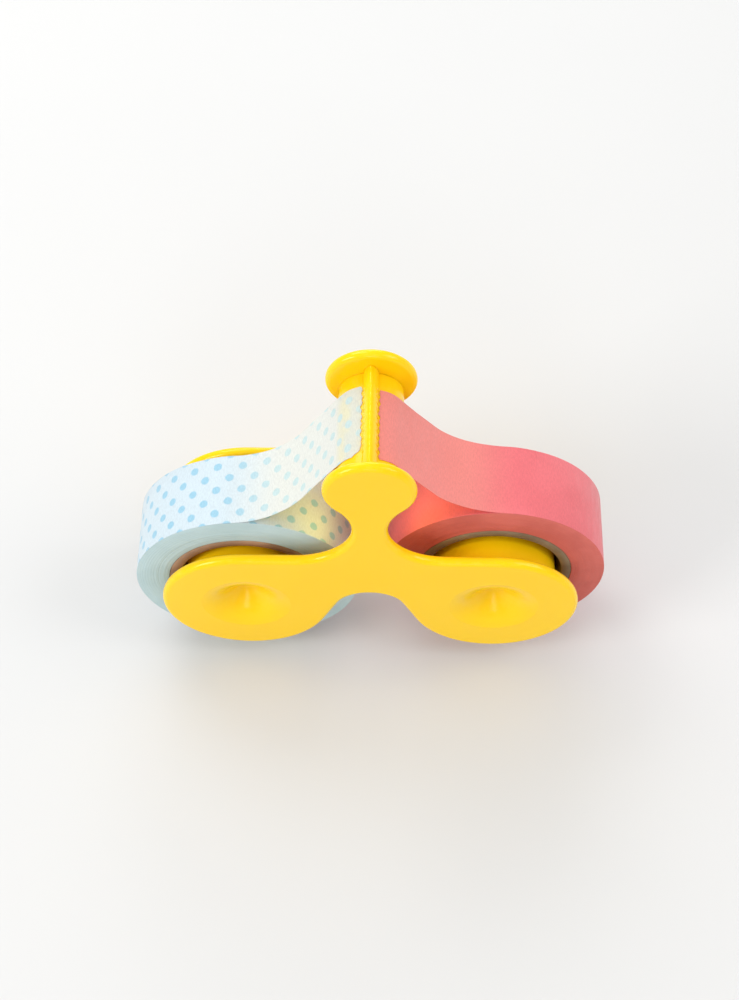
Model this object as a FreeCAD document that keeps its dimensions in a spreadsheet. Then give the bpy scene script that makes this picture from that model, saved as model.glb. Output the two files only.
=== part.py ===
"""Two-roll tape dispenser, built as a parametric FreeCAD document.

Two equal three-lobed side plates hold two spools and a cutter post between them. Each spool carries a
paper core with its wound tape, and the free end of each tape runs up to the cutter post and stops at
the toothed ridge. Frame: X to the right, Y to the back, Z up. The origin lies on the table under the
middle of the dispenser, which stands on its two tape rolls. All sizes are in millimetres.
"""

import FreeCAD, Part
import math
import os

import Sketcher
from FreeCAD import Placement, Rotation, Vector

DRIVING_SIZES = [
    ("tape_width", 15.0, "width of both tapes and of their paper cores"),
    ("roll_radius", 21.75, "outside of the wound tape"),
    ("roll_gap", 5.0, "room between the two rolls"),
    ("core_bore_radius", 13.3, "inside of the paper core"),
    ("core_wall", 2.0, "thickness of the paper core"),
    ("left_roll_shift", -1.0, "how far back the left roll lies on its spool"),
    ("right_roll_shift", 1.8, "how far back the right roll lies on its spool"),
    ("left_end_shift", 0.6, "how far back the left tape's end lies on the post"),
    ("right_end_shift", -0.2, "how far back the right tape's end lies on the post"),
    ("core_room", 1.1, "radial room between a spool and the core on it"),
    ("resting_gap", 0.1, "room left under a core's bore where it meets the spool"),
    ("spool_wall", 1.4, "wall of the spool's sleeve"),
    ("web_thickness", 1.2, "disc that joins the sleeve to its boss"),
    ("boss_radius", 3.4, "outside of the spool's central boss"),
    ("boss_end_room", 1.1, "room between the boss and the tip of a dimple's wall"),
    ("side_room", 3.65, "room beside a centred tape up to a side plate"),
    ("plate_thickness", 2.1, "thickness of a side plate"),
    ("lobe_radius", 16.4, "round lobe of a side plate in front of each roll"),
    ("crown_radius", 8.55, "round lobe of a side plate at the cutter post"),
    ("neck_radius", 10.8, "hollow curve between the crown and an arm"),
    ("crown_over_neck", 13.2, "height of the crown's centre above the neck's centre"),
    ("arch_inset", 1.05, "how much narrower the arch's round is than the space between the big lobes"),
    ("arch_drop", 2.4, "how far the arch's centre lies below the spool axes"),
    ("outer_round", 1.05, "rounded rim of a plate's outer face"),
    ("inner_round", 0.9, "rounded rim of a plate's inner face"),
    ("dimple_radius", 9.6, "mouth of the funnel-shaped finger dimple"),
    ("dimple_depth", 4.8, "depth of the finger dimple"),
    ("dimple_mouth_round", 7.5, "soft curve at the dimple's mouth"),
    ("dimple_tip_round", 3.0, "round bottom of the dimple"),
    ("dimple_lip", 0.05, "fine step where the dimple's curve meets the plate's face"),
    ("dimple_wall", 1.4, "wall behind the dimple"),
    ("pin_radius", 1.9, "snap pins at the tips of the dimples"),
    ("pin_clearance", 0.05, "radial room between a snap pin and the boss bore"),
    ("pin_gap", 0.5, "room between the middle plane and the end of a snap pin"),
    ("pin_bevel", 0.4, "bevel at the end of a snap pin"),
    ("register_wall", 0.9, "ring on a plate that centres a spool or the post"),
    ("register_height", 2.4, "height of that ring"),
    ("register_clearance", 0.08, "radial room between the ring and what it centres"),
    ("end_clearance", 0.05, "room between a plate and the end of a spool or post"),
    ("post_radius", 6.1, "outside of the post that the tape ends rest on"),
    ("post_wall", 1.8, "wall of the post"),
    ("post_drop", 2.6, "how far the post's axis lies below the crown's centre"),
    ("ridge_rise", 2.4, "height of the cutting ridge above the post"),
    ("ridge_half_width", 1.45, "half the width of the ridge where it meets the post"),
    ("ridge_edge", 0.3, "width of the ridge's cutting edge"),
    ("ridge_bulge", 7.0, "radius of the ridge's rounded flanks"),
    ("tongue_thickness", 1.6, "tongue of the ridge that sits in the post's slot"),
    ("tongue_depth", 3.0, "how deep that tongue reaches below the post's top"),
    ("tongue_end_room", 0.6, "room between the tongue's slot and the plates' rings"),
    ("slot_room", 0.05, "room on each side of the tongue in its slot"),
    ("tooth_pitch", 1.5, "spacing of the cutting teeth"),
    ("tooth_depth", 0.5, "depth of the notches between the teeth"),
    ("notch_width", 0.9, "width of a notch at the cutting edge"),
    ("tape_thickness", 0.3, "thickness of a free tape end"),
    ("tape_gap", 0.12, "room between a free tape end and the roll or post under it"),
    ("tape_bend", 18.0, "hollow bend of the tape between roll and post"),
    ("tape_lift", 4.0, "where the tape leaves its roll, in degrees outward from the roll's top"),
    ("tape_lap", 9.0, "how far the free end still follows its roll, in degrees"),
    ("tape_end_reach", 2.0, "distance of the torn tape ends from the middle of the ridge"),
]

SHEET = "sizes"
FULL_TURN = 360.0
OVERLAP = 0.5  # how far fused features reach into each other, and cuts reach past a face
SKETCH_X, SKETCH_Y = -1, -2  # Sketcher's own ids of its horizontal and vertical axis
START, END, CENTRE = 1, 2, 3  # Sketcher's ids of the points of a line or an arc
ORIGIN_POINT = (-1, 1)
SIDES = (("left", "-1"), ("right", "1"))

os.makedirs("parts", exist_ok=True)
doc = FreeCAD.newDocument("tape_dispenser")


def make_sheet():
    """The spreadsheet with every driving size as a plain number under its own alias."""
    new_sheet = doc.addObject("Spreadsheet::Sheet", SHEET)
    for row, (alias, number, meaning) in enumerate(DRIVING_SIZES, start=1):
        new_sheet.set(f"A{row}", alias)
        new_sheet.set(f"B{row}", str(number))
        new_sheet.set(f"C{row}", meaning)
        new_sheet.setAlias(f"B{row}", alias)
    doc.recompute()
    return new_sheet


sheet = make_sheet()


def of(text):
    """A formula for the document, written with the sheet's aliases between braces."""
    return "(" + text.replace("{", SHEET + ".").replace("}", "") + ")"


def number(formula):
    """What a formula comes to with the sizes on the sheet."""
    return float(sheet.evalExpression(formula))


# Lengths and places that follow from the driving sizes.
HALF_SPACING = of("{roll_radius} + {roll_gap} / 2")
HALF_GAP = of("{tape_width} / 2 + {side_room}")
SPOOL_LENGTH = of("{tape_width} + 2 * {side_room} - 2 * {end_clearance}")
SPOOL_RADIUS = of("{core_bore_radius} - {core_room}")
SPOOL_BORE = f"({SPOOL_RADIUS} - {SHEET}.spool_wall)"
SPOOL_HEIGHT = of("{roll_radius} - {core_room} + {resting_gap}")
CROWN_RISE = of("{lobe_radius} + {neck_radius} + {crown_over_neck}")
POST_RISE = f"({CROWN_RISE} - {SHEET}.post_drop)"
POST_HEIGHT = f"({SPOOL_HEIGHT} + {POST_RISE})"
POST_BORE = of("{post_radius} - {post_wall}")
CORE_RADIUS = of("{core_bore_radius} + {core_wall}")
BOSS_RECESS = of("{dimple_depth} + {dimple_wall} - {plate_thickness} + {boss_end_room}")
BOSS_LENGTH = f"(2 * ({HALF_GAP} - {BOSS_RECESS}))"
PIN_BORE = of("{pin_radius} + {pin_clearance}")
SLOT_LENGTH = f"({SPOOL_LENGTH} - " + of("2 * {register_height} + 2 * {tongue_end_room}") + ")"


# ---- general helpers --------------------------------------------------------------------------------------


def bind(thing, **formulas):
    """Binds properties of a document object to formulas. A double underscore stands for a dot."""
    for name, formula in formulas.items():
        thing.setExpression(name.replace("__", "."), formula)


def new_body(label):
    """An empty PartDesign body whose label is the sub-part's name."""
    body = doc.addObject("PartDesign::Body", label)
    body.Label = label
    return body


def new_sketch(body, name, role, across="0", up="0", out="0"):
    """A sketch on one of the body's own origin planes, shifted along the plane's axes and its normal."""
    plane = next(feature for feature in body.Origin.OriginFeatures if feature.Role == role)
    sketch = body.newObject("Sketcher::SketchObject", f"{body.Label}_{name}")
    sketch.AttachmentSupport = (plane, "")
    sketch.MapMode = "FlatFace"
    bind(
        sketch,
        AttachmentOffset__Base__x=across,
        AttachmentOffset__Base__y=up,
        AttachmentOffset__Base__z=out,
    )
    return sketch


def line(sketch, start, end):
    return sketch.addGeometry(Part.LineSegment(Vector(*start, 0), Vector(*end, 0)))


def arc(sketch, centre, radius, start_degrees, end_degrees):
    """A counter-clockwise arc."""
    circle = Part.Circle(Vector(*centre, 0), Vector(0, 0, 1), radius)
    arc = Part.ArcOfCircle(circle, math.radians(start_degrees), math.radians(end_degrees))
    return sketch.addGeometry(arc)


def hold(sketch, kind, *where):
    return sketch.addConstraint(Sketcher.Constraint(kind, *where))


def drive(sketch, formula, kind, *where):
    """A dimension of the sketch that follows a formula over the sheet."""
    index = hold(sketch, kind, *where, number(formula))
    sketch.setExpression(f"Constraints[{index}]", formula)


def chain(sketch, kind, joints):
    """Joins geometry end to end. Each joint is (first id, its point, next id, its point)."""
    for joint in joints:
        hold(sketch, kind, *joint)


def polygon(sketch, corners):
    """A closed outline of straight runs through corners given as (across formula, up formula)."""
    spots = [(number(across), number(up)) for across, up in corners]
    ids = [line(sketch, spot, spots[(index + 1) % len(spots)]) for index, spot in enumerate(spots)]
    for index, current in enumerate(ids):
        hold(sketch, "Coincident", current, END, ids[(index + 1) % len(ids)], START)
    for current, (across, up) in zip(ids, corners):
        for axis, formula, kind in ((SKETCH_Y, across, "DistanceX"), (SKETCH_X, up, "DistanceY")):
            if formula == "0":
                hold(sketch, "PointOnObject", current, START, axis)
            else:
                drive(sketch, formula, kind, *ORIGIN_POINT, current, START)


def rectangle(sketch, width, height):
    """A rectangle with one corner at the sketch's origin."""
    polygon(sketch, [("0", "0"), (width, "0"), (width, height), ("0", height)])


def revolved(body, sketch, name, kind="Revolution"):
    """Turns a sketch about its own upright axis, as added material or as a groove."""
    feature = body.newObject(f"PartDesign::{kind}", f"{body.Label}_{name}")
    feature.Profile = sketch
    feature.ReferenceAxis = (sketch, ["V_Axis"])
    feature.Angle = FULL_TURN
    return feature


def extruded(body, sketch, name, length, kind="Pad"):
    """Pads a sketch along its normal, or pockets against it."""
    feature = body.newObject(f"PartDesign::{kind}", f"{body.Label}_{name}")
    feature.Profile = sketch
    bind(feature, Length=length)
    return feature


def place(thing, across="0", back="0", up="0", half_turn=False):
    """Puts a sub-part in the frame, turned half round about Z where asked."""
    if half_turn:
        thing.Placement = Placement(Vector(), Rotation(Vector(0, 0, 1), 180))
    bind(thing, Placement__Base__x=across, Placement__Base__y=back, Placement__Base__z=up)


def tangent_angle(from_centre, from_radius, to_centre, to_radius):
    """Direction, in degrees, from the first circle's centre to where a line that passes between two circles
    touches it. The line touches the second circle on the opposite side."""
    apart = (to_centre[0] - from_centre[0], to_centre[1] - from_centre[1])
    lean = math.acos((from_radius + to_radius) / math.hypot(*apart))
    return math.degrees(math.atan2(apart[1], apart[0]) + lean)


def on_circle(centre, radius, degrees):
    angle = math.radians(degrees)
    return (centre[0] + radius * math.cos(angle), centre[1] + radius * math.sin(angle))


# ---- side plates ------------------------------------------------------------------------------------------


def plate_outline(sketch):
    """The three-lobed outline about the spools' height: two big lobes, an arch, two necks and the crown."""
    half, lobe = number(HALF_SPACING), number(of("{lobe_radius}"))
    neck, crown, rise = number(of("{neck_radius}")), number(of("{crown_radius}")), number(CROWN_RISE)
    arch_formula = f"({HALF_SPACING} - " + of("{lobe_radius} + {arch_inset}") + ")"
    arch, drop = number(arch_formula), number(of("{arch_drop}"))

    neck_up = lobe + neck
    neck_across = math.sqrt((crown + neck) ** 2 - (rise - neck_up) ** 2)
    to_crown = math.degrees(math.atan2(rise - neck_up, -neck_across))
    lean = tangent_angle((0, -drop), arch, (half, 0), lobe)
    arch_point = on_circle((0, -drop), arch, lean)
    lobe_point = on_circle((half, 0), lobe, lean + 180)

    def mirrored(point):
        return (-point[0], point[1])

    top, foot = (half, lobe), (neck_across, lobe)
    arch_id = arc(sketch, (0, -drop), arch, lean, 180 - lean)
    right_side = line(sketch, arch_point, lobe_point)
    right_lobe = arc(sketch, (half, 0), lobe, lean - 180, 90)
    right_arm = line(sketch, top, foot)
    right_neck = arc(sketch, (neck_across, neck_up), neck, to_crown, 270)
    crown_id = arc(sketch, (0, rise), crown, to_crown - 180, 360 - to_crown)
    left_neck = arc(sketch, (-neck_across, neck_up), neck, -90, 180 - to_crown)
    left_arm = line(sketch, mirrored(foot), mirrored(top))
    left_lobe = arc(sketch, (-half, 0), lobe, 90, 360 - lean)
    left_side = line(sketch, mirrored(lobe_point), mirrored(arch_point))

    chain(
        sketch,
        "Tangent",
        [
            (arch_id, START, right_side, START),
            (right_side, END, right_lobe, START),
            (right_lobe, END, right_arm, START),
            (right_arm, END, right_neck, END),
            (right_neck, START, crown_id, START),
            (crown_id, END, left_neck, END),
            (left_neck, START, left_arm, START),
            (left_arm, END, left_lobe, START),
            (left_lobe, END, left_side, START),
            (left_side, END, arch_id, END),
        ],
    )
    for middle in (arch_id, crown_id):
        hold(sketch, "PointOnObject", middle, CENTRE, SKETCH_Y)
    for lobe_id, arm, neck_id in ((right_lobe, right_arm, right_neck), (left_lobe, left_arm, left_neck)):
        hold(sketch, "PointOnObject", lobe_id, CENTRE, SKETCH_X)
        hold(sketch, "Horizontal", arm)
        drive(sketch, of("{lobe_radius}"), "Radius", lobe_id)
        drive(sketch, of("{neck_radius}"), "Radius", neck_id)
    drive(sketch, HALF_SPACING, "DistanceX", *ORIGIN_POINT, right_lobe, CENTRE)
    drive(sketch, HALF_SPACING, "DistanceX", left_lobe, CENTRE, *ORIGIN_POINT)
    drive(sketch, CROWN_RISE, "DistanceY", *ORIGIN_POINT, crown_id, CENTRE)
    drive(sketch, of("{crown_radius}"), "Radius", crown_id)
    drive(sketch, of("{arch_drop}"), "DistanceY", arch_id, CENTRE, *ORIGIN_POINT)
    drive(sketch, arch_formula, "Radius", arch_id)


def funnel(sketch, offset):
    """Half the section of a dimple, offset outward for the wall behind it. Its height counts from the lip."""
    tip_formula = of("{dimple_tip_round} + " + offset)
    mouth_formula = of("{dimple_mouth_round} - " + offset)
    tip_up_formula = of("{dimple_lip} + {dimple_depth} - {dimple_tip_round}")
    tip, mouth = number(tip_formula), number(mouth_formula)
    tip_centre = (0, number(tip_up_formula))
    mouth_centre = (number(of("{dimple_radius}")), number(of("{dimple_mouth_round}")))
    lean = tangent_angle(tip_centre, tip, mouth_centre, mouth)
    tip_top = (0, tip_centre[1] + tip)
    rim = (mouth_centre[0], mouth_centre[1] - mouth)
    foot = (0, rim[1])

    tip_id = arc(sketch, tip_centre, tip, lean, 90)
    slope = line(sketch, on_circle(tip_centre, tip, lean), on_circle(mouth_centre, mouth, lean + 180))
    mouth_id = arc(sketch, mouth_centre, mouth, lean + 180, 270)
    floor = line(sketch, rim, foot)
    axis = line(sketch, foot, tip_top)
    chain(sketch, "Tangent", [(tip_id, START, slope, START), (slope, END, mouth_id, START)])
    corners = [(mouth_id, END, floor, START), (floor, END, axis, START), (axis, END, tip_id, END)]
    chain(sketch, "Coincident", corners)
    for point in ((tip_id, CENTRE), (axis, START), (axis, END)):
        hold(sketch, "PointOnObject", *point, SKETCH_Y)
    hold(sketch, "Horizontal", floor)
    hold(sketch, "Vertical", mouth_id, CENTRE, mouth_id, END)
    drive(sketch, tip_formula, "Radius", tip_id)
    drive(sketch, mouth_formula, "Radius", mouth_id)
    drive(sketch, tip_up_formula, "DistanceY", *ORIGIN_POINT, tip_id, CENTRE)
    drive(sketch, of("{dimple_radius}"), "DistanceX", *ORIGIN_POINT, mouth_id, CENTRE)
    drive(sketch, of("{dimple_mouth_round}"), "DistanceY", *ORIGIN_POINT, mouth_id, CENTRE)


def register_ring(body, name, bore, across, out):
    """A ring on the plate's inner face that fits inside a bore."""
    outer = f"({bore} - {SHEET}.register_clearance)"
    inner = f"({outer} - {SHEET}.register_wall)"
    top = of("{register_height}") + f" + {OVERLAP}"
    sketch = new_sketch(body, f"{name}_ring_section", "XY_Plane", across, f"-{HALF_GAP} - {OVERLAP}", out)
    polygon(sketch, [(inner, "0"), (outer, "0"), (outer, top), (inner, top)])
    revolved(body, sketch, f"{name}_ring")


def face_at(shape, back):
    """The name of the flat face of a shape that lies in the plane y = back."""
    for index, face in enumerate(shape.Faces, start=1):
        if abs(face.BoundBox.YMin - back) < 1e-6 and abs(face.BoundBox.YMax - back) < 1e-6:
            return f"Face{index}"
    raise ValueError(f"no flat face at y = {back}")


def make_plate(label, half_turn):
    """A side plate with dimples, snap pins and centring rings; the rear one is the front one turned round."""
    body = new_body(label)
    outline = new_sketch(body, "outline", "XZ_Plane", out=HALF_GAP)
    plate_outline(outline)
    feature = extruded(body, outline, "slab", of("{plate_thickness}"))
    doc.recompute()
    for name, face_back in (
        ("outer_round", f"(-{HALF_GAP} - {SHEET}.plate_thickness)"),
        ("inner_round", f"(-{HALF_GAP})"),
    ):
        rounded = body.newObject("PartDesign::Fillet", f"{label}_{name}")
        rounded.Base = (feature, [face_at(feature.Shape, number(face_back))])
        bind(rounded, Radius=f"{SHEET}.{name}")
        doc.recompute()
        feature = rounded

    lip = f"-{HALF_GAP} - {SHEET}.plate_thickness - {SHEET}.dimple_lip"
    for side, sign in SIDES:
        across = f"{sign} * {HALF_SPACING}"
        wall = new_sketch(body, f"{side}_dimple_wall_section", "XY_Plane", across, lip)
        funnel(wall, "{dimple_wall}")
        revolved(body, wall, f"{side}_dimple_wall")
        hollow = new_sketch(body, f"{side}_dimple_section", "XY_Plane", across, lip)
        funnel(hollow, "0")
        revolved(body, hollow, f"{side}_dimple", "Groove")

        root = of("{dimple_depth} + {dimple_wall} / 2")
        end = f"({HALF_GAP} + " + of("{plate_thickness} - {pin_gap}") + ")"
        outer_face = f"-{HALF_GAP} - {SHEET}.plate_thickness"
        pin = new_sketch(body, f"{side}_pin_section", "XY_Plane", across, outer_face)
        radius, bevelled = of("{pin_radius}"), of("{pin_radius} - {pin_bevel}")
        shoulder = f"({end} - {SHEET}.pin_bevel)"
        polygon(pin, [("0", root), (radius, root), (radius, shoulder), (bevelled, end), ("0", end)])
        revolved(body, pin, f"{side}_pin")
        register_ring(body, side, SPOOL_BORE, across, "0")
    register_ring(body, "post", POST_BORE, "0", POST_RISE)
    place(body, up=SPOOL_HEIGHT, half_turn=half_turn)
    return body


# ---- spools, post and cutting ridge -----------------------------------------------------------------------


def make_spool(label, sign):
    """A sleeve with a disc half way along and a boss bored for the snap pins."""
    body = new_body(label)
    middle = f"({SPOOL_LENGTH} / 2)"
    web_low, web_high = (f"({middle} {way} {SHEET}.web_thickness / 2)" for way in "-+")
    boss_low, boss_high = (f"({middle} {way} {BOSS_LENGTH} / 2)" for way in "-+")
    boss = of("{boss_radius}")
    section = new_sketch(body, "section", "XY_Plane", up=f"-{middle}")
    polygon(
        section,
        [
            (SPOOL_BORE, "0"),
            (SPOOL_RADIUS, "0"),
            (SPOOL_RADIUS, SPOOL_LENGTH),
            (SPOOL_BORE, SPOOL_LENGTH),
            (SPOOL_BORE, web_high),
            (boss, web_high),
            (boss, boss_high),
            (PIN_BORE, boss_high),
            (PIN_BORE, boss_low),
            (boss, boss_low),
            (boss, web_low),
            (SPOOL_BORE, web_low),
        ],
    )
    revolved(body, section, "turned")
    place(body, across=f"{sign} * {HALF_SPACING}", up=SPOOL_HEIGHT)
    return body


def make_post():
    """The round post between the crowns, with a closed slot along its top for the ridge's tongue."""
    body = new_body("cutter_post")
    section = new_sketch(body, "section", "XY_Plane", up=f"-{SPOOL_LENGTH} / 2")
    radius = of("{post_radius}")
    polygon(section, [(POST_BORE, "0"), (radius, "0"), (radius, SPOOL_LENGTH), (POST_BORE, SPOOL_LENGTH)])
    revolved(body, section, "tube")
    width = of("{tongue_thickness} + 2 * {slot_room}")
    length = f"({SLOT_LENGTH} + 2 * {SHEET}.slot_room)"
    top = f"({SHEET}.post_radius + {OVERLAP})"
    slot = new_sketch(body, "slot_outline", "XY_Plane", f"-{width} / 2", f"-{length} / 2", top)
    rectangle(slot, width, length)
    extruded(body, slot, "slot", top, "Pocket")
    place(body, up=POST_HEIGHT)
    return body


def ridge_outline(sketch):
    """The pointed section of the ridge, seated on the round of the post."""
    post, bulge = number(of("{post_radius}")), number(of("{ridge_bulge}"))
    half_width, half_edge = number(of("{ridge_half_width}")), number(of("{ridge_edge} / 2"))
    foot = (half_width, math.sqrt(post**2 - half_width**2))
    peak = (half_edge, post + number(of("{ridge_rise}")))
    chord = (peak[0] - foot[0], peak[1] - foot[1])
    reach = math.hypot(*chord)
    sag = math.sqrt(bulge**2 - reach**2 / 4)
    centre = (
        (foot[0] + peak[0]) / 2 - chord[1] / reach * sag,
        (foot[1] + peak[1]) / 2 + chord[0] / reach * sag,
    )
    foot_turn = math.degrees(math.atan2(foot[1] - centre[1], foot[0] - centre[0]))
    peak_turn = math.degrees(math.atan2(peak[1] - centre[1], peak[0] - centre[0]))
    seat_turn = math.degrees(math.atan2(foot[1], foot[0]))

    seat = arc(sketch, (0, 0), post, seat_turn, 180 - seat_turn)
    right = arc(sketch, centre, bulge, foot_turn, peak_turn)
    edge = line(sketch, peak, (-peak[0], peak[1]))
    left = arc(sketch, (-centre[0], centre[1]), bulge, 180 - peak_turn, 180 - foot_turn)
    chain(
        sketch,
        "Coincident",
        [
            (seat, START, right, START),
            (right, END, edge, START),
            (edge, END, left, START),
            (left, END, seat, END),
            (seat, CENTRE, *ORIGIN_POINT),
        ],
    )
    hold(sketch, "Symmetric", edge, START, edge, END, SKETCH_Y)
    drive(sketch, of("{post_radius}"), "Radius", seat)
    drive(sketch, of("{ridge_half_width}"), "DistanceX", *ORIGIN_POINT, seat, START)
    drive(sketch, of("{ridge_half_width}"), "DistanceX", seat, END, *ORIGIN_POINT)
    drive(sketch, of("{ridge_edge} / 2"), "DistanceX", *ORIGIN_POINT, edge, START)
    drive(sketch, of("{post_radius} + {ridge_rise}"), "DistanceY", *ORIGIN_POINT, edge, START)
    for flank in (right, left):
        drive(sketch, of("{ridge_bulge}"), "Radius", flank)


def make_ridge():
    """The toothed ridge: a pointed bar with a tongue under it and notches across its edge."""
    body = new_body("cutting_ridge")
    outline = new_sketch(body, "outline", "XZ_Plane", out=f"-{SPOOL_LENGTH} / 2")
    ridge_outline(outline)
    extruded(body, outline, "bar", SPOOL_LENGTH)

    thickness = of("{tongue_thickness}")
    low = of("{post_radius} - {tongue_depth}")
    tongue = new_sketch(body, "tongue_outline", "XZ_Plane", f"-{thickness} / 2", low, f"-{SLOT_LENGTH} / 2")
    rectangle(tongue, thickness, f"({SHEET}.tongue_depth + {OVERLAP})")
    extruded(body, tongue, "tongue", SLOT_LENGTH)

    teeth = f"floor({SHEET}.tape_width / {SHEET}.tooth_pitch)"
    span = f"(({teeth} - 1) * {SHEET}.tooth_pitch)"
    height = f"({SHEET}.tooth_depth + {OVERLAP})"
    width = f"({SHEET}.notch_width * {height} / {SHEET}.tooth_depth)"
    bottom = of("{post_radius} + {ridge_rise} - {tooth_depth}")
    reach = of("2 * {ridge_half_width}")
    notch = new_sketch(body, "notch_outline", "YZ_Plane", f"-{span} / 2 - {width} / 2", bottom, reach)
    polygon(notch, [(f"({width} / 2)", "0"), (width, height), ("0", height)])
    cut = extruded(body, notch, "notch", f"2 * {reach}", "Pocket")
    doc.recompute()
    pattern = body.newObject("PartDesign::LinearPattern", "cutting_ridge_notches")
    pattern.Originals = [cut]
    pattern.Direction = (notch, ["H_Axis"])
    bind(pattern, Length=span, Occurrences=teeth)
    body.Tip = pattern
    place(body, up=POST_HEIGHT)
    return body


# ---- tape -------------------------------------------------------------------------------------------------


def make_ring(label, inner, outer, sign, shift):
    """A core or its wound tape: a plain ring as wide as the tape, on the roll's own axis."""
    body = new_body(label)
    width = of("{tape_width}")
    section = new_sketch(body, "section", "XY_Plane", up=f"-{width} / 2")
    polygon(section, [(inner, "0"), (outer, "0"), (outer, width), (inner, width)])
    revolved(body, section, "ring")
    place(body, across=f"{sign} * {HALF_SPACING}", back=shift, up=f"{SHEET}.roll_radius")
    return body


def tape_face(sketch, layer):
    """One face of a free tape end, from its roll over the hollow bend and the straight run to the post.

    The layer is the height of the face above the under side. Returns the ids of the first and last arcs."""
    on_roll_formula = of("{roll_radius} + {tape_gap} + " + layer)
    bend_formula = of("{tape_bend} - " + layer)
    on_post_formula = of("{post_radius} + {tape_gap} + " + layer)
    on_roll, bend, on_post = number(on_roll_formula), number(bend_formula), number(on_post_formula)
    lift, lap = number(of("{tape_lift}")), number(of("{tape_lap}"))
    roll_centre = (number(HALF_SPACING), number(of("{roll_radius}")))
    post_centre = (0, number(POST_HEIGHT))
    bend_centre = on_circle(roll_centre, on_roll + bend, 90 - lift)
    lean = tangent_angle(post_centre, on_post, bend_centre, bend)
    end_across = number(of("{tape_end_reach}"))
    end_turn = math.degrees(math.acos(end_across / on_post))

    lap_id = arc(sketch, roll_centre, on_roll, 90 - lift - lap, 90 - lift)
    bend_id = arc(sketch, bend_centre, bend, lean + 180, 270 - lift)
    run = line(sketch, on_circle(bend_centre, bend, lean + 180), on_circle(post_centre, on_post, lean))
    post_id = arc(sketch, post_centre, on_post, lean, end_turn)
    chain(
        sketch,
        "Tangent",
        [(lap_id, END, bend_id, END), (bend_id, START, run, START), (run, END, post_id, START)],
    )
    drive(sketch, HALF_SPACING, "DistanceX", *ORIGIN_POINT, lap_id, CENTRE)
    drive(sketch, of("{roll_radius}"), "DistanceY", *ORIGIN_POINT, lap_id, CENTRE)
    drive(sketch, on_roll_formula, "Radius", lap_id)
    drive(sketch, bend_formula, "Radius", bend_id)
    hold(sketch, "PointOnObject", post_id, CENTRE, SKETCH_Y)
    drive(sketch, POST_HEIGHT, "DistanceY", *ORIGIN_POINT, post_id, CENTRE)
    drive(sketch, on_post_formula, "Radius", post_id)
    lift_across = f"({HALF_SPACING} + {on_roll_formula} * sin({SHEET}.tape_lift * 1 deg))"
    drive(sketch, lift_across, "DistanceX", *ORIGIN_POINT, lap_id, END)
    return lap_id, post_id


def make_tape_end(label, roll_shift, end_shift, half_turn):
    """The free end of a tape. It keeps a fine gap to its roll and to the post."""
    body = new_body(label)
    outline = new_sketch(body, "outline", "XZ_Plane", out=of("0 - {tape_width} / 2"))
    under_lap, under_post = tape_face(outline, "0")
    over_lap, over_post = tape_face(outline, "{tape_thickness}")
    for under, over, point in ((under_lap, over_lap, START), (under_post, over_post, END)):
        under_spot, over_spot = outline.getPoint(under, point), outline.getPoint(over, point)
        cap = line(outline, (under_spot.x, under_spot.y), (over_spot.x, over_spot.y))
        chain(outline, "Coincident", [(under, point, cap, START), (over, point, cap, END)])
    lap_start = f"({SHEET}.tape_lift + {SHEET}.tape_lap) * 1 deg"
    start_across = f"({HALF_SPACING} + {SHEET}.roll_radius * sin({lap_start}))"
    for lap_id, post_id in ((under_lap, under_post), (over_lap, over_post)):
        drive(outline, start_across, "DistanceX", *ORIGIN_POINT, lap_id, START)
        drive(outline, of("{tape_end_reach}"), "DistanceX", *ORIGIN_POINT, post_id, END)
    extruded(body, outline, "strip", of("{tape_width}"))
    place(body, back=f"({roll_shift} + {end_shift}) / 2", half_turn=half_turn)
    return body


def make_roll(side, sign, half_turn):
    """The core, the wound tape and the free tape end of one side."""
    roll_shift, end_shift = f"{SHEET}.{side}_roll_shift", f"{SHEET}.{side}_end_shift"
    return [
        make_ring(f"{side}_core", of("{core_bore_radius}"), CORE_RADIUS, sign, roll_shift),
        make_ring(f"{side}_tape", CORE_RADIUS, of("{roll_radius}"), sign, roll_shift),
        make_tape_end(f"{side}_tape_end", roll_shift, end_shift, half_turn),
    ]


# ---- the whole dispenser ----------------------------------------------------------------------------------

sub_parts = [make_plate("front_plate", False), make_plate("rear_plate", True), make_post(), make_ridge()]
for side, sign in SIDES:
    sub_parts.append(make_spool(f"{side}_spool", sign))
    sub_parts += make_roll(side, sign, half_turn=side == "left")
doc.recompute()

for thing in doc.Objects:
    if "Invalid" in thing.State or "Error" in thing.State:
        raise RuntimeError(f"{thing.Label} did not build: {thing.State}")
for sub_part in sub_parts:
    if sub_part.Shape.isNull() or not sub_part.Shape.isValid() or len(sub_part.Shape.Solids) != 1:
        raise RuntimeError(f"{sub_part.Label} is not one sound solid")
    sub_part.Shape.exportStep(f"parts/{sub_part.Label}.step")
    box = sub_part.Shape.BoundBox
    print(
        f"{sub_part.Label:16s} {sub_part.Shape.Volume:10.1f} mm3"
        f"  x {box.XMin:7.2f} {box.XMax:7.2f}  y {box.YMin:7.2f} {box.YMax:7.2f}"
        f"  z {box.ZMin:7.2f} {box.ZMax:7.2f}"
    )
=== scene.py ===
"""Looks of the two-roll tape dispenser: tapes, cores, cutting ridge, plastic, studio light and camera.

MM turns lengths in millimetres into Blender's metres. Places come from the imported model's nodes.
"""

import math
import random

import bpy
from mathutils import Matrix, Vector, noise


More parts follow.
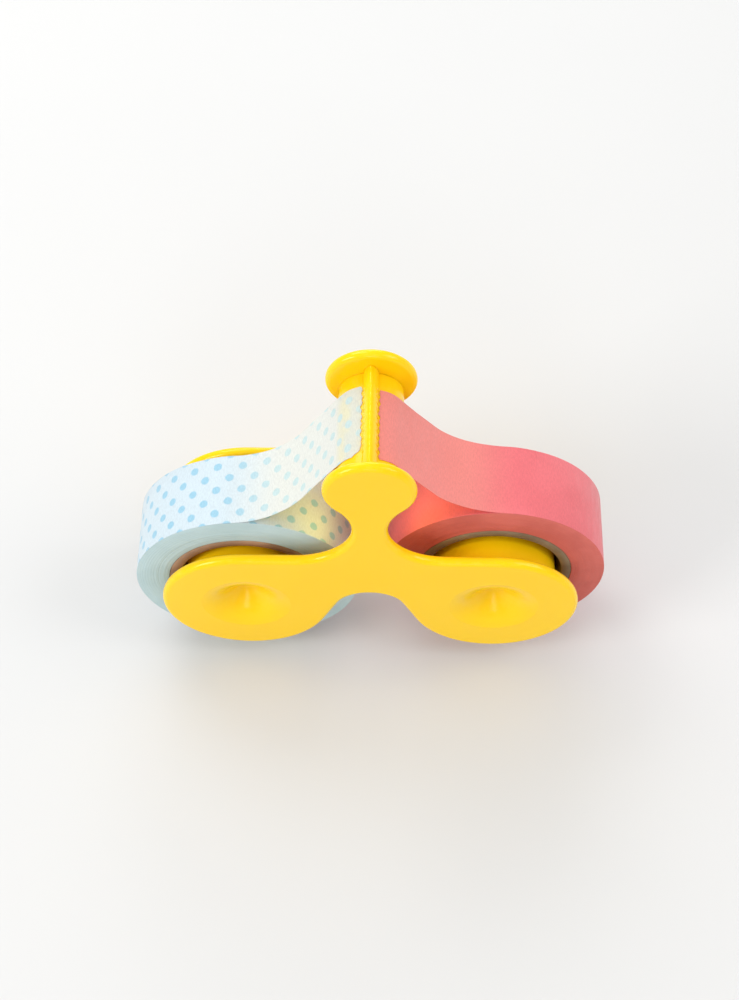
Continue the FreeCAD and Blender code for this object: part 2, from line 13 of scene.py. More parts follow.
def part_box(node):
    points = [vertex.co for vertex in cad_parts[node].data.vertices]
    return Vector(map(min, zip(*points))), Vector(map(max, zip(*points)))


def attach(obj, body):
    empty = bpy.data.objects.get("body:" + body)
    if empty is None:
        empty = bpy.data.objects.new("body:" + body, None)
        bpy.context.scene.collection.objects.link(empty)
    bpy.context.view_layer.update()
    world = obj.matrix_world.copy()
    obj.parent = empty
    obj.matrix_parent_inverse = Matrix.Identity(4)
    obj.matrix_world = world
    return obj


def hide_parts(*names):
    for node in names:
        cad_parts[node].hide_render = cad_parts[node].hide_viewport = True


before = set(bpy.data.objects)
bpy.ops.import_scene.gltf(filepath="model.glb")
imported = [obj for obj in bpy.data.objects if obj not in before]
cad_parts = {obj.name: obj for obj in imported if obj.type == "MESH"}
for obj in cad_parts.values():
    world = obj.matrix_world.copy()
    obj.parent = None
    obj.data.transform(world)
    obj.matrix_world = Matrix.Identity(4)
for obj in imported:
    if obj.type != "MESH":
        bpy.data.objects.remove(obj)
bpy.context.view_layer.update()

MM = 0.001

# ---- places and sizes read from the frame ------------------------------------------------------------------


def middle(node):
    low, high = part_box(node)
    return (low + high) / 2


def half_size(node):
    low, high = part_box(node)
    return (high - low) / 2


POST_CENTRE = middle("cutter_post")
POST_RADIUS = half_size("cutter_post").x
RIDGE_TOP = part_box("cutting_ridge")[1].z
RIDGE_HALF_WIDTH = half_size("cutting_ridge").x
RIDGE_HALF_LENGTH = half_size("cutting_ridge").y

# The free tape ends follow the same bends as their solids in the frame.
TAPE_BEND = 18.0 * MM
TAPE_LIFT = 4.0  # degrees outward from the roll's top
TAPE_LAP = 16.0  # degrees that the free end still follows its roll
TAPE_GAP = 0.05 * MM
TAPE_SHEET = 0.09 * MM
RIDGE_PITCH = 1.5 * MM  # of the ridge's teeth and of the marks they leave in the torn ends
RING_WANDER = 0.05 * MM  # how far rings of tape and board may stray along y
LOST_CORNER = 1.5 * MM  # how far one corner of the left tape's end is torn back

# Dots of the left tape.
DOT_ALONG = 4.9 * MM
DOT_ACROSS = 5.2 * MM
DOT_RADIUS = 0.82 * MM

NEAR_FLOOR = (0.64, 0.64, 0.635)
FAR_FLOOR = (0.95, 0.95, 0.95)
FLOOR_REACH = 30.0  # metres to each side
AMBIENT = 0.8  # brightness of the white surround
AMBIENT_REFLECTED = 0.3  # and as glossy surfaces reflect it
PLATE_GLOW = (1.0, 0.78, 0.04)  # tint of the daylight that bounces between the plates
AIM = (0, 0, 0.03)  # what the five studio lights face
CAMERA_PLACE = (3.79, -185.88, 336.45)  # millimetres
CAMERA_ANGLES = (58.03, -1.247, -0.408)  # degrees: pitch downwards, yaw to the right, roll
CAMERA_LENS = 65.97

# Linear colours.
# The third plastic colour is a painted highlight for the rounded rims.
PLASTIC, PLASTIC_PALE, PLASTIC_RIM_HIGHLIGHT = (0.99, 0.605, 0.002), (1.0, 0.62, 0.004), (1.0, 0.76, 0.08)
BLUE_PAPER, BLUE_INK = (0.57, 0.67, 0.725), (0.30, 0.54, 0.68)
FREE_BLUE_PAPER, FREE_BLUE_INK = (0.77, 0.79, 0.745), (0.58, 0.74, 0.75)
STUCK_PAPER, STUCK_PATCH = (0.68, 0.70, 0.60), (0.86, 0.80, 0.46)
CORAL, CORAL_PALE, FREE_CORAL = (0.77, 0.15, 0.168), (0.81, 0.166, 0.186), (0.98, 0.32, 0.27)
THROUGH_BLUE, THROUGH_CORAL = (1.0, 0.90, 0.36), (1.0, 0.72, 0.4)  # of light through the free ends
WHITE = (1.0, 1.0, 1.0)


# ---- mesh helpers ------------------------------------------------------------------------------------------


def grid_faces(rows, columns, first=0, wrap_rows=False, wrap_columns=False, flip=False):
    """Quads over a grid of vertices numbered row by row."""
    faces = []
    for row in range(rows if wrap_rows else rows - 1):
        for column in range(columns if wrap_columns else columns - 1):
            following_row = (row + 1) % rows
            following_column = (column + 1) % columns
            face = [
                first + row * columns + column,
                first + row * columns + following_column,
                first + following_row * columns + following_column,
                first + following_row * columns + column,
            ]
            faces.append(face[::-1] if flip else face)
    return faces


def mesh_object(name, points, faces, materials, slots=None, uv=None, attributes=None):
    """A smooth-shaded mesh. Uv holds (u, v) and attributes hold one number for each vertex."""
    mesh = bpy.data.meshes.new(name)
    mesh.from_pydata([tuple(point) for point in points], [], faces)
    for material in materials:
        mesh.materials.append(material)
    mesh.polygons.foreach_set("use_smooth", [True] * len(mesh.polygons))
    if slots:
        mesh.polygons.foreach_set("material_index", slots)
    if uv:
        layer = mesh.uv_layers.new(name="tape")
        for loop in mesh.loops:
            layer.data[loop.index].uv = uv[loop.vertex_index]
    for key, numbers in (attributes or {}).items():
        mesh.attributes.new(key, "FLOAT", "POINT").data.foreach_set("value", numbers)
    mesh.update()
    thing = bpy.data.objects.new(name, mesh)
    bpy.context.scene.collection.objects.link(thing)
    return thing


def smooth_step(value):
    value = min(max(value, 0.0), 1.0)
    return value * value * (3 - 2 * value)


# ---- node helpers ------------------------------------------------------------------------------------------


class Nodes:
    """A material's node tree with short ways to add and link nodes."""

    def __init__(self, name):
        self.material = bpy.data.materials.new(name)
        self.material.use_nodes = True
        self.tree = self.material.node_tree
        self.tree.nodes.clear()
        self.shader = self.add("ShaderNodeBsdfPrincipled")
        self.output = self.add("ShaderNodeOutputMaterial")
        self.link(self.shader.outputs[0], self.output.inputs["Surface"])

    def add(self, kind, **settings):
        node = self.tree.nodes.new(kind)
        for key, value in settings.items():
            setattr(node, key, value)
        return node

    def link(self, source, target):
        self.tree.links.new(source, target)

    def math(self, operation, first, second=None):
        node = self.add("ShaderNodeMath", operation=operation)
        for socket, value in zip(node.inputs, (first, second)):
            if value is None:
                continue
            if isinstance(value, (int, float)):
                socket.default_value = value
            else:
                self.link(value, socket)
        return node.outputs[0]

    def mix(self, factor, first, second, blend="MIX"):
        node = self.add("ShaderNodeMix", data_type="RGBA", blend_type=blend)
        for socket, value in zip((node.inputs[0], node.inputs[6], node.inputs[7]), (factor, first, second)):
            if isinstance(value, (int, float)):
                socket.default_value = value
            elif isinstance(value, tuple):
                socket.default_value = (*value, 1.0)
            else:
                self.link(value, socket)
        return node.outputs[2]

    def place(self):
        """The object's own coordinates."""
        return self.add("ShaderNodeTexCoord").outputs["Object"]

    def noise(self, scale, detail=3.0, roughness=0.5, where=None):
        node = self.add("ShaderNodeTexNoise")
        node.inputs["Scale"].default_value = scale
        node.inputs["Detail"].default_value = detail
        node.inputs["Roughness"].default_value = roughness
        self.link(where or self.place(), node.inputs["Vector"])
        return node.outputs["Fac"]

    def spread(self, value, low, high, to_low=0.0, to_high=1.0):
        node = self.add("ShaderNodeMapRange", interpolation_type="SMOOTHSTEP")
        for index, number in ((1, low), (2, high), (3, to_low), (4, to_high)):
            node.inputs[index].default_value = number
        self.link(value, node.inputs[0])
        return node.outputs[0]

    def attribute(self, name):
        return self.add("ShaderNodeAttribute", attribute_name=name).outputs["Fac"]

    def edges(self):
        """How much a spot lies on a rounded rim, where the surface faces neither along Y nor square to it."""
        split = self.add("ShaderNodeSeparateXYZ")
        self.link(self.add("ShaderNodeTexCoord").outputs["Normal"], split.inputs[0])
        lean = self.math("ABSOLUTE", split.outputs[1])
        return self.math("MULTIPLY", self.spread(lean, 0.15, 0.45), self.spread(lean, 0.6, 0.95, 1.0, 0.0))

    def bump(self, height, strength, distance, before=None):
        node = self.add("ShaderNodeBump")
        node.inputs["Strength"].default_value = strength
        node.inputs["Distance"].default_value = distance
        self.link(height, node.inputs["Height"])
        if before:
            self.link(before, node.inputs["Normal"])
        return node.outputs[0]


# ---- materials ---------------------------------------------------------------------------------------------


def yellow_plastic():
    """Glossy moulded plastic: a little cloudy in colour, faintly uneven in gloss, with a painted highlight
    that makes the rounded rims paler in speckled patches.
    """
    nodes = Nodes("yellow_plastic")
    shader = nodes.shader
    cloud = nodes.noise(45, 2)
    specks = nodes.noise(900, 3, 0.6)
    body = nodes.mix(nodes.spread(cloud, 0.3, 0.7), PLASTIC, PLASTIC_PALE)
    # Painted highlight: the rounded rims are tinted toward a paler yellow in speckled patches.
    rim_highlight = nodes.math("MULTIPLY", nodes.edges(), nodes.spread(specks, 0.45, 0.65))
    colour = nodes.mix(nodes.math("MULTIPLY", rim_highlight, 0.15), body, PLASTIC_RIM_HIGHLIGHT)
    nodes.link(colour, shader.inputs["Base Color"])
    nodes.link(nodes.spread(specks, 0.3, 0.7, 0.17, 0.23), shader.inputs["Roughness"])
    nodes.link(nodes.bump(nodes.noise(300, 2), 0.08, 0.0001), shader.inputs["Normal"])
    shader.inputs["Subsurface Weight"].default_value = 0.2
    shader.inputs["Subsurface Radius"].default_value = (1.0, 0.8, 0.1)
    shader.inputs["Subsurface Scale"].default_value = 0.001
    shader.inputs["Specular IOR Level"].default_value = 0.4
    shader.inputs["Specular Tint"].default_value = (1.0, 0.96, 0.75, 1.0)
    return nodes.material


def dots(nodes):
    """Rows of round dots, each row half a pitch out of step with the next, over the tape's own uv in metres:
    1 on a dot, 0 on the paper."""
    uv = nodes.add("ShaderNodeUVMap", uv_map="tape")
    split = nodes.add("ShaderNodeSeparateXYZ")
    nodes.link(uv.outputs[0], split.inputs[0])
    wobble = nodes.math("MULTIPLY", nodes.math("SUBTRACT", nodes.noise(900, 2), 0.5), 0.35 * MM)

    def nearest(value, pitch, shift):
        """Distance from the nearest centre along one direction."""
        moved = nodes.math("ADD", value, shift * pitch)
        turns = nodes.math("FRACT", nodes.math("DIVIDE", moved, pitch))
        return nodes.math("MULTIPLY", nodes.math("SUBTRACT", turns, 0.5), pitch)

    spots = []
    for shift in (0.0, 0.5):
        along = nearest(split.outputs[0], DOT_ALONG, shift)
        across = nearest(split.outputs[1], DOT_ACROSS, shift)
        squares = nodes.math("ADD", nodes.math("POWER", along, 2.0), nodes.math("POWER", across, 2.0))
        distance = nodes.math("ADD", nodes.math("SQRT", squares), wobble)
        spots.append(nodes.spread(distance, DOT_RADIUS - 0.16 * MM, DOT_RADIUS + 0.16 * MM, 1.0, 0.0))
    return nodes.math("MAXIMUM", *spots)


def paper_finish(nodes, colour, glow, free):
    """Fine crepe fibre over a soft sheen. A free end lets some light through."""
    shader = nodes.shader
    uv = nodes.add("ShaderNodeUVMap", uv_map="tape").outputs[0]
    fibre = nodes.add("ShaderNodeMapping")
    fibre.inputs["Scale"].default_value = (1.0, 0.35, 1.0)
    nodes.link(uv, fibre.inputs[0])
    grain = nodes.noise(3600, 4, 0.7, fibre.outputs[0])
    cloud = nodes.noise(700, 3, 0.55, fibre.outputs[0])
    shade = nodes.mix(nodes.spread(grain, 0.34, 0.66), (0.87, 0.87, 0.87), WHITE)
    shade = nodes.mix(nodes.spread(cloud, 0.3, 0.7, 0.0, 0.35), shade, (0.93, 0.93, 0.93))
    colour = nodes.mix(1.0, colour, shade, "MULTIPLY")
    nodes.link(colour, shader.inputs["Base Color"])
    nodes.link(nodes.spread(cloud, 0.3, 0.7, 0.42, 0.6), shader.inputs["Roughness"])
    nodes.link(nodes.bump(grain, 0.25, 0.00008), shader.inputs["Normal"])
    shader.inputs["Specular IOR Level"].default_value = 0.35
    shader.inputs["Sheen Weight"].default_value = 0.15
    shader.inputs["Sheen Roughness"].default_value = 0.5
    if free:
        through = nodes.add("ShaderNodeBsdfTranslucent")
        nodes.link(nodes.mix(1.0, colour, glow, "MULTIPLY"), through.inputs[0])
        blend = nodes.add("ShaderNodeMixShader")
        nodes.link(nodes.math("MULTIPLY", nodes.attribute("free"), 0.12), blend.inputs[0])
        nodes.link(shader.outputs[0], blend.inputs[1])
        nodes.link(through.outputs[0], blend.inputs[2])
        nodes.link(blend.outputs[0], nodes.output.inputs["Surface"])
    return nodes.material


def blue_tape(free):
    nodes = Nodes("blue_tape_free" if free else "blue_tape")
    paper, ink = BLUE_PAPER, BLUE_INK
    if free:
        paper = nodes.mix(nodes.attribute("free"), paper, FREE_BLUE_PAPER)
        ink = nodes.mix(nodes.attribute("free"), ink, FREE_BLUE_INK)
        stuck = nodes.math("MULTIPLY", nodes.attribute("stuck"), nodes.spread(nodes.noise(190, 2), 0.4, 0.6))
        paper = nodes.mix(nodes.math("MULTIPLY", nodes.attribute("stuck"), 0.6), paper, STUCK_PAPER)
        paper = nodes.mix(nodes.math("MULTIPLY", stuck, 0.5), paper, STUCK_PATCH)
    colour = nodes.mix(dots(nodes), paper, ink)
    return paper_finish(nodes, colour, THROUGH_BLUE, free)


def coral_tape(free):
    nodes = Nodes("coral_tape_free" if free else "coral_tape")
    cloud = nodes.noise(120, 3)
    colour = nodes.mix(nodes.spread(cloud, 0.35, 0.65), CORAL, CORAL_PALE)
    if free:
        colour = nodes.mix(nodes.math("MULTIPLY", nodes.attribute("free"), 0.8), colour, FREE_CORAL)
    return paper_finish(nodes, colour, THROUGH_CORAL, free)


def layered(name, pale, dark, rings, roughness):
    """Cut edges of many thin layers: fine rings round the roll's axis with a faint slitting grain."""
    nodes = Nodes(name)
    shader = nodes.shader
    uv = nodes.add("ShaderNodeUVMap", uv_map="tape")
    split = nodes.add("ShaderNodeSeparateXYZ")
    nodes.link(uv.outputs[0], split.inputs[0])
    radial = nodes.add("ShaderNodeCombineXYZ")
    nodes.link(nodes.math("MULTIPLY", split.outputs[0], 0.03), radial.inputs[0])
    nodes.link(split.outputs[1], radial.inputs[1])
    ring = nodes.noise(rings, 3, 0.65, radial.outputs[0])
    grain = nodes.noise(1300, 4, 0.6)
    cloud = nodes.noise(130, 3)
    mixed = nodes.math("ADD", nodes.math("MULTIPLY", ring, 0.2), nodes.math("MULTIPLY", cloud, 0.8))
    colour = nodes.mix(nodes.spread(mixed, 0.36, 0.64), dark, pale)
    colour = nodes.mix(nodes.spread(grain, 0.5, 0.8, 0.0, 0.25), colour, pale)
    nodes.link(colour, shader.inputs["Base Color"])
    shader.inputs["Specular IOR Level"].default_value = 0.3
    nodes.link(nodes.spread(grain, 0.3, 0.7, roughness - 0.08, roughness + 0.08), shader.inputs["Roughness"])
    nodes.link(nodes.bump(grain, 0.2, 0.00006, nodes.bump(ring, 0.08, 0.00008)), shader.inputs["Normal"])
    return nodes.material


# ---- tape rolls and cores ----------------------------------------------------------------------------------


def turned_ring(name, centre, profile, materials, slots, segments=180, wander=0.0, seed=0):
    """Turns a closed profile of (radius, y) round the roll's axis. Wander shifts each ring along y."""
    points, uv = [], []
    rows = len(profile)
    outer = max(radius for radius, _ in profile)
    for row, (radius, back) in enumerate(profile):
        for segment in range(segments):
            turn = 2 * math.pi * segment / segments
            spot = Vector((math.cos(turn) * 1.4, math.sin(turn) * 1.4, seed + radius / MM * 0.9))
            shift = wander * noise.noise(spot)
            points.append(
                (
                    centre.x + radius * math.cos(turn),
                    centre.y + back + shift * (1 if abs(back) > 5 * MM else 0),
                    centre.z + radius * math.sin(turn),
                )
            )
            uv.append((turn, radius, back))
    faces = grid_faces(rows, segments, wrap_rows=True, wrap_columns=True)
    face_slots = [slots[index // segments] for index in range(len(faces))]
    thing = mesh_object(name, points, faces, materials, face_slots)
    layer = thing.data.uv_layers.new(name="tape")
    full = 2 * math.pi
    for polygon in thing.data.polygons:
        turns = [uv[vertex][0] for vertex in polygon.vertices]
        seam = max(turns) - min(turns) > math.pi
        flat = polygon.material_index == 0
        for loop in polygon.loop_indices:
            turn, radius, back = uv[thing.data.loops[loop].vertex_index]
            if seam and turn < math.pi:
                turn += full
            along = turn * outer
            layer.data[loop].uv = (along, back) if flat else (along, radius)
    return thing


def roll_profile(inner, outer, half_width, layers, seed):
    """Closed section of wound tape: flat inside and outside, its layers stepping slightly at both faces."""
    draw = random.Random(seed)
    step = (outer - inner) / layers
    profile, slots = [], []
    rounding = 0.06 * MM
    for face in (1, -1):
        order = range(layers) if face == 1 else range(layers - 1, -1, -1)
        for layer in order:
            edge = half_width - abs(draw.gauss(0.0, 0.007 * MM))
            near, far = inner + layer * step, inner + (layer + 1) * step
            if face == -1:
                near, far = far, near
            profile.append((near + (far - near) * 0.12, face * edge))
            profile.append((near + (far - near) * 0.88, face * edge))
            slots += [1, 1]
        slots[-1] = 0
        if face == 1:
            profile[-1] = (outer - rounding, profile[-1][1])
            profile.append((outer, half_width - rounding * 1.5))
            profile.append((outer, 0.0))
            profile.append((outer, -half_width + rounding * 1.5))
            slots += [0, 0, 0]
    slots[-1] = 1
    return profile, slots


def make_roll(side, tape_material, edge_material, core_material):
    """The wound tape and the paper core of one side, riding on that side's roll."""
    centre = middle(f"{side}_tape")
    outer, half_width = half_size(f"{side}_tape").x, half_size(f"{side}_tape").y
    core_outer = half_size(f"{side}_core").x
    profile, slots = roll_profile(core_outer, outer, half_width, 44, seed=7 if side == "left" else 11)
    tape = turned_ring(
        f"{side}_wound_tape",
        centre,
        profile,
        [tape_material, edge_material],
        slots,
        segments=200,
        wander=RING_WANDER,
        seed=len(side),
    )
    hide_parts(f"{side}_tape")
    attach(tape, f"{side}_roll")

    wall, bevel = 2.0 * MM, 0.16 * MM
    bore, edge = core_outer - wall, half_width + 0.03 * MM
    outline = []
    rim = core_outer - 0.01 * MM
    for across, back in ((bore, edge), (rim, edge), (rim, -edge), (bore, -edge)):
        inward = bevel if across == bore else -bevel
        toward = -bevel if back > 0 else bevel
        pair = [(across + inward, back), (across, back + toward)]
        outline += pair[::-1] if (across == bore) == (back > 0) else pair
    core_slots = [0] * len(outline)
    core = turned_ring(f"{side}_paper_core", centre, outline, [core_material], core_slots, 144, RING_WANDER, 3)
    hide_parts(f"{side}_core")
    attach(core, f"{side}_roll")


# ---- free tape ends ----------------------------------------------------------------------------------------


def on_circle(centre, radius, degrees):
    return (
        centre[0] + radius * math.cos(math.radians(degrees)),
        centre[1] + radius * math.sin(math.radians(degrees)),
    )


def tape_path(roll_centre, roll_radius):
    """Stretches of the tape on the right-hand side as (length, place at a distance): round the roll, over the
    hollow bend, straight to the post and round it. A place is the under side's point and upward normal."""
    on_roll, on_post = roll_radius + TAPE_GAP, POST_RADIUS + TAPE_GAP
    post = (0.0, POST_CENTRE.z)
    leave = 90 - TAPE_LIFT
    bend_centre = on_circle(roll_centre, on_roll + TAPE_BEND, leave)
    apart = (bend_centre[0] - post[0], bend_centre[1] - post[1])
    toward_bend = math.atan2(apart[1], apart[0])
    lean = math.degrees(toward_bend + math.acos((on_post + TAPE_BEND) / math.hypot(*apart)))
    run_start, run_end = on_circle(bend_centre, TAPE_BEND, lean + 180), on_circle(post, on_post, lean)
    run_length = math.dist(run_start, run_end)

    def round_arc(centre, radius, start, end, hollow):
        length = radius * math.radians(abs(end - start))

        def place(distance):
            degrees = start + (end - start) * distance / length
            flip = -1 if hollow else 1
            normal = (flip * math.cos(math.radians(degrees)), flip * math.sin(math.radians(degrees)))
            return on_circle(centre, radius, degrees), normal

        return length, place

    def straight(distance):
        part = distance / run_length
        point = tuple(a + (b - a) * part for a, b in zip(run_start, run_end))
        return point, on_circle((0, 0), 1, lean)

    return [
        round_arc(roll_centre, on_roll, leave - TAPE_LAP, leave, False),
        round_arc(bend_centre, TAPE_BEND, 270 - TAPE_LIFT, lean + 180, True),
        (run_length, straight),
        round_arc(post, on_post, lean, 90, False),
    ]


def along(path, distance):
    for length, place in path[:-1]:
        if distance <= length:
            return place(distance)
        distance -= length
    return path[-1][1](distance)


def torn(across, side, draw_seed):
    """How much shorter the tape is at a place across it: teeth marks, ragged tearing and a lost corner."""
    phase = (across / RIDGE_PITCH) % 1.0
    teeth = 0.24 * MM * abs(2 * phase - 1)
    ragged = 0.35 * MM * noise.noise(Vector((across / MM * 0.55, draw_seed, 0.0)))
    corner = 0.0
    if side == "left":
        corner = LOST_CORNER * smooth_step((-across - 6.1 * MM) / (1.4 * MM))
    return teeth + ragged + corner


def make_tape_end(side, material):
    """One free end: a thin sheet from its roll, drifting sideways to the post and torn at the ridge."""
    sign = -1 if side == "left" else 1
    roll = middle(f"{side}_tape")
    roll_radius, half_width = half_size(f"{side}_tape").x, half_size(f"{side}_tape").y
    strip = middle(f"{side}_tape_end")
    end_back = 2 * strip.y - roll.y
    path = tape_path((abs(roll.x), roll.z), roll_radius)
    lengths = [length for length, _ in path]
    leave, reach_post = lengths[0], sum(lengths[:3])
    end_reach = 1.55 * MM if side == "left" else 1.5 * MM
    whole = reach_post + lengths[3] - (POST_RADIUS + TAPE_GAP) * math.asin(end_reach / POST_RADIUS)

    rows, columns = 150, 126
    top, bottom, uv, free, stuck = [], [], [], [], []
    for row in range(rows + 1):
        for column in range(columns + 1):
            across = half_width * (2 * column / columns - 1)
            distance = (whole - torn(across, side, 3.0 + sign)) * row / rows
            (x, z), (normal_x, normal_z) = along(path, distance)
            slack = smooth_step((distance - leave) / (reach_post - leave))
            hang = math.sin(math.pi * min(max((distance - leave) / (reach_post - leave), 0.0), 1.0))
            curl = 0.16 * MM * hang * (across / half_width) ** 2
            ripple = noise.noise(Vector((distance / MM * 0.16, across / MM * 0.12, 5.0 * sign)))
            wave = 0.12 * MM * hang * ripple
            start = smooth_step(distance / (5 * MM))
            lift = (curl + wave) - (1 - start) * TAPE_GAP * 0.88
            thick = TAPE_SHEET * (0.07 + 0.93 * start)
            y = roll.y + (end_back - roll.y) * slack + across
            bottom.append((sign * (x + normal_x * lift), y, z + normal_z * lift))
            top.append((sign * (x + normal_x * (lift + thick)), y, z + normal_z * (lift + thick)))
            lap_start = math.radians(90 - TAPE_LIFT - TAPE_LAP)
            start_turn = lap_start if sign > 0 else math.pi - lap_start
            uv.append((start_turn * roll_radius + sign * distance, across))
            free.append(smooth_step((distance - leave + 3 * MM) / (13 * MM)))
            stuck.append(smooth_step((distance - reach_post + 2.5 * MM) / (3 * MM)))
    count = len(top)
    width = columns + 1
    faces = grid_faces(rows + 1, width, flip=sign < 0) + grid_faces(rows + 1, width, count, flip=sign > 0)
    rim = list(range(width))
    rim += [row * width + columns for row in range(1, rows + 1)]
    rim += [rows * width + column for column in range(columns - 1, -1, -1)]
    rim += [row * width for row in range(rows - 1, 0, -1)]
    for index, current in enumerate(rim):
        following = rim[(index + 1) % len(rim)]
        face = [following, current, current + count, following + count]
        faces.append(face[::-1] if sign < 0 else face)
    thing = mesh_object(
        f"{side}_free_tape",
        top + bottom,
        faces,
        [material],
        uv=uv + uv,
        attributes={"free": free + free, "stuck": stuck + stuck},
    )
    thing.data.set_sharp_from_angle(angle=math.radians(50))
    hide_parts(f"{side}_tape_end")
    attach(thing, "rear_half")


# ---- cutting ridge -----------------------------------------------------------------------------------------


def make_ridge(material):
    """A pointed bar with teeth down both flanks, over the width of the tapes."""
    pitch, notch_share, notch_depth = RIDGE_PITCH, 0.5, 0.34 * MM
    toothed = 7.4 * MM
    foot = POST_CENTRE.z + math.sqrt(POST_RADIUS**2 - RIDGE_HALF_WIDTH**2) - 0.25 * MM
    height = RIDGE_TOP - foot
    per_side, rows = 18, 370
    points = []
    for row in range(rows + 1):
        y = -RIDGE_HALF_LENGTH + 2 * RIDGE_HALF_LENGTH * row / rows
        phase = abs(((y / pitch) % 1.0) - 0.5) * 2
        notch = smooth_step(1 - phase / notch_share) * smooth_step((toothed - abs(y)) / (0.4 * MM) + 0.5)
        for index in range(-per_side, per_side + 1):
            turn = abs(index) / per_side
            rise = 1 - turn**1.3
            across = RIDGE_HALF_WIDTH * math.sin(turn * math.pi / 2) ** 0.92
            cut = notch_depth * notch * smooth_step((turn - 0.45) / 0.35)
            inward = min(cut, across * 0.8)
            drop = 0.06 * MM * notch * (1 - turn) ** 3
            points.append(
                (math.copysign(across - inward, index) if index else 0.0, y, foot + height * rise - drop)
            )
    columns = 2 * per_side + 1
    faces = grid_faces(rows + 1, columns, flip=True)
    for row in range(rows):
        first, second = row * columns, (row + 1) * columns
        faces.append([first, first + columns - 1, second + columns - 1, second][::-1])
    faces.append(list(range(columns)))
    faces.append(list(range(rows * columns, (rows + 1) * columns))[::-1])
    thing = mesh_object("toothed_ridge", points, faces, [material])
    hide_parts("cutting_ridge")
    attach(thing, "rear_half")


# ---- carried-over plastic ----------------------------------------------------------------------------------


def dress(node, material, sharp=35.0):
    """Gives a node of the frame its finish and shades its curves smooth."""
    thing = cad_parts[node]
    thing.data.materials.clear()
    thing.data.materials.append(material)
    thing.data.polygons.foreach_set("use_smooth", [True] * len(thing.data.polygons))
    thing.data.set_sharp_from_angle(angle=math.radians(sharp))
    weighted = thing.modifiers.new("weighted", "WEIGHTED_NORMAL")
    weighted.keep_sharp = True


# ---- stage, light and camera -------------------------------------------------------------------------------


def make_stage():
    nodes = Nodes("pale_floor")
    brighter = tuple(part + 0.015 for part in NEAR_FLOOR)
    tone = nodes.mix(nodes.spread(nodes.noise(6, 2), 0.3, 0.7), NEAR_FLOOR, brighter)
    distance = nodes.add("ShaderNodeVectorMath", operation="LENGTH")
    nodes.link(nodes.place(), distance.inputs[0])
    far = nodes.spread(distance.outputs["Value"], 0.2, 1.2)
    nodes.link(nodes.mix(far, tone, FAR_FLOOR), nodes.shader.inputs["Base Color"])
    nodes.shader.inputs["Roughness"].default_value = 0.6
    nodes.shader.inputs["Specular IOR Level"].default_value = 0.2
    reach = FLOOR_REACH
    corners = [(-reach, -reach, 0), (reach, -reach, 0), (reach, reach, 0), (-reach, reach, 0)]
    floor = mesh_object("floor", corners, [[0, 1, 2, 3]], [nodes.material])


def area_light(name, place, target, size, power, colour=WHITE, spread=180):
    data = bpy.data.lights.new(name, "AREA")
    data.shape = "DISK"
    data.size = size
    data.energy = power
    data.color = colour
    data.spread = math.radians(spread)
    lamp = bpy.data.objects.new(name, data)
    lamp.location = place
    lamp.rotation_euler = (Vector(target) - Vector(place)).to_track_quat("-Z", "Y").to_euler()
    lamp.visible_camera = False
    lamp.visible_glossy = size > 50 * MM
    bpy.context.scene.collection.objects.link(lamp)


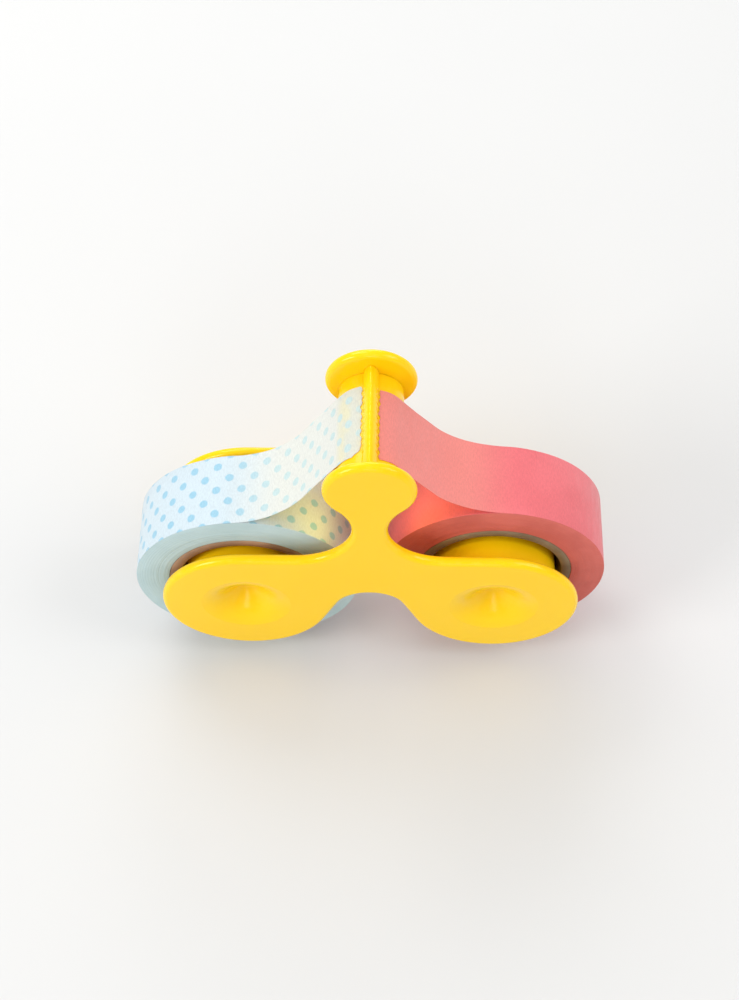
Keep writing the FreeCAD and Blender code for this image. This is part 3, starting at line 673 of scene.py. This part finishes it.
def make_light():
    """A white surround, dimmer in reflections, five soft lights and a faint glow between the plates."""
    world = bpy.data.worlds.new("studio")
    world.use_nodes = True
    tree = world.node_tree
    background = tree.nodes["Background"]
    background.inputs[0].default_value = (0.99, 0.995, 1.0, 1.0)
    strength = tree.nodes.new("ShaderNodeMapRange")
    strength.inputs[3].default_value = AMBIENT
    strength.inputs[4].default_value = AMBIENT_REFLECTED
    tree.links.new(tree.nodes.new("ShaderNodeLightPath").outputs["Is Glossy Ray"], strength.inputs[0])
    tree.links.new(strength.outputs[0], background.inputs[1])
    bpy.context.scene.world = world
    area_light("window", (-0.22, 0.34, 0.42), AIM, 0.3, 0.8, (1.0, 0.995, 0.98))
    area_light("left_fill", (-0.60, -0.32, 0.44), AIM, 0.35, 2.45)
    area_light("right_fill", (0.48, -0.05, 0.52), AIM, 0.4, 1.25)
    area_light("front_fill", (0.0, -0.75, 0.36), AIM, 0.3, 0.22, spread=110)
    area_light("back_strip", (0.0, 0.85, 0.42), AIM, 0.5, 0.75, spread=110)
    neck_height = middle("cutter_post").z - 14 * MM
    for side, sign in (("left", -1), ("right", 1)):
        place = (2 * MM * sign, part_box("front_plate")[1].y - 7.5 * MM, neck_height)
        target = (24 * MM * sign, 0, 46 * MM)
        area_light(f"glow_{side}", place, target, 5 * MM, 0.0009, PLATE_GLOW, 150)


def make_camera():
    pitch, yaw, roll = (math.radians(angle) for angle in CAMERA_ANGLES)
    forward = Vector((math.sin(yaw) * math.cos(pitch), math.cos(yaw) * math.cos(pitch), -math.sin(pitch)))
    right = Vector((math.cos(yaw), -math.sin(yaw), 0))
    up = right.cross(forward)
    turned_right = right * math.cos(roll) + up * math.sin(roll)
    turned_up = up * math.cos(roll) - right * math.sin(roll)
    data = bpy.data.cameras.new("camera")
    data.lens = CAMERA_LENS
    data.sensor_width = 36.0
    data.clip_start, data.clip_end = 0.01, 20.0
    camera = bpy.data.objects.new("camera", data)
    axes = Matrix((turned_right, turned_up, -forward)).transposed().to_4x4()
    camera.matrix_world = Matrix.Translation(Vector(CAMERA_PLACE) * MM) @ axes
    bpy.context.scene.collection.objects.link(camera)
    bpy.context.scene.camera = camera


# ---- the whole scene ---------------------------------------------------------------------------------------

plastic = yellow_plastic()
for node in ("front_plate", "rear_plate", "cutter_post", "left_spool", "right_spool"):
    dress(node, plastic)
make_ridge(plastic)
make_roll(
    "left",
    blue_tape(free=False),
    layered("blue_tape_edge", (0.50, 0.64, 0.66), (0.455, 0.595, 0.615), 2600, 0.62),
    layered("left_core_board", (0.46, 0.28, 0.18), (0.26, 0.15, 0.09), 1500, 0.8),
)
make_roll(
    "right",
    coral_tape(free=False),
    layered("coral_tape_edge", (0.655, 0.155, 0.128), (0.565, 0.124, 0.102), 2600, 0.62),
    layered("right_core_board", (0.30, 0.24, 0.15), (0.18, 0.13, 0.08), 1500, 0.8),
)
make_tape_end("left", blue_tape(free=True))
make_tape_end("right", coral_tape(free=True))
make_stage()
make_light()
make_camera()
bpy.context.scene.view_settings.view_transform = "Standard"
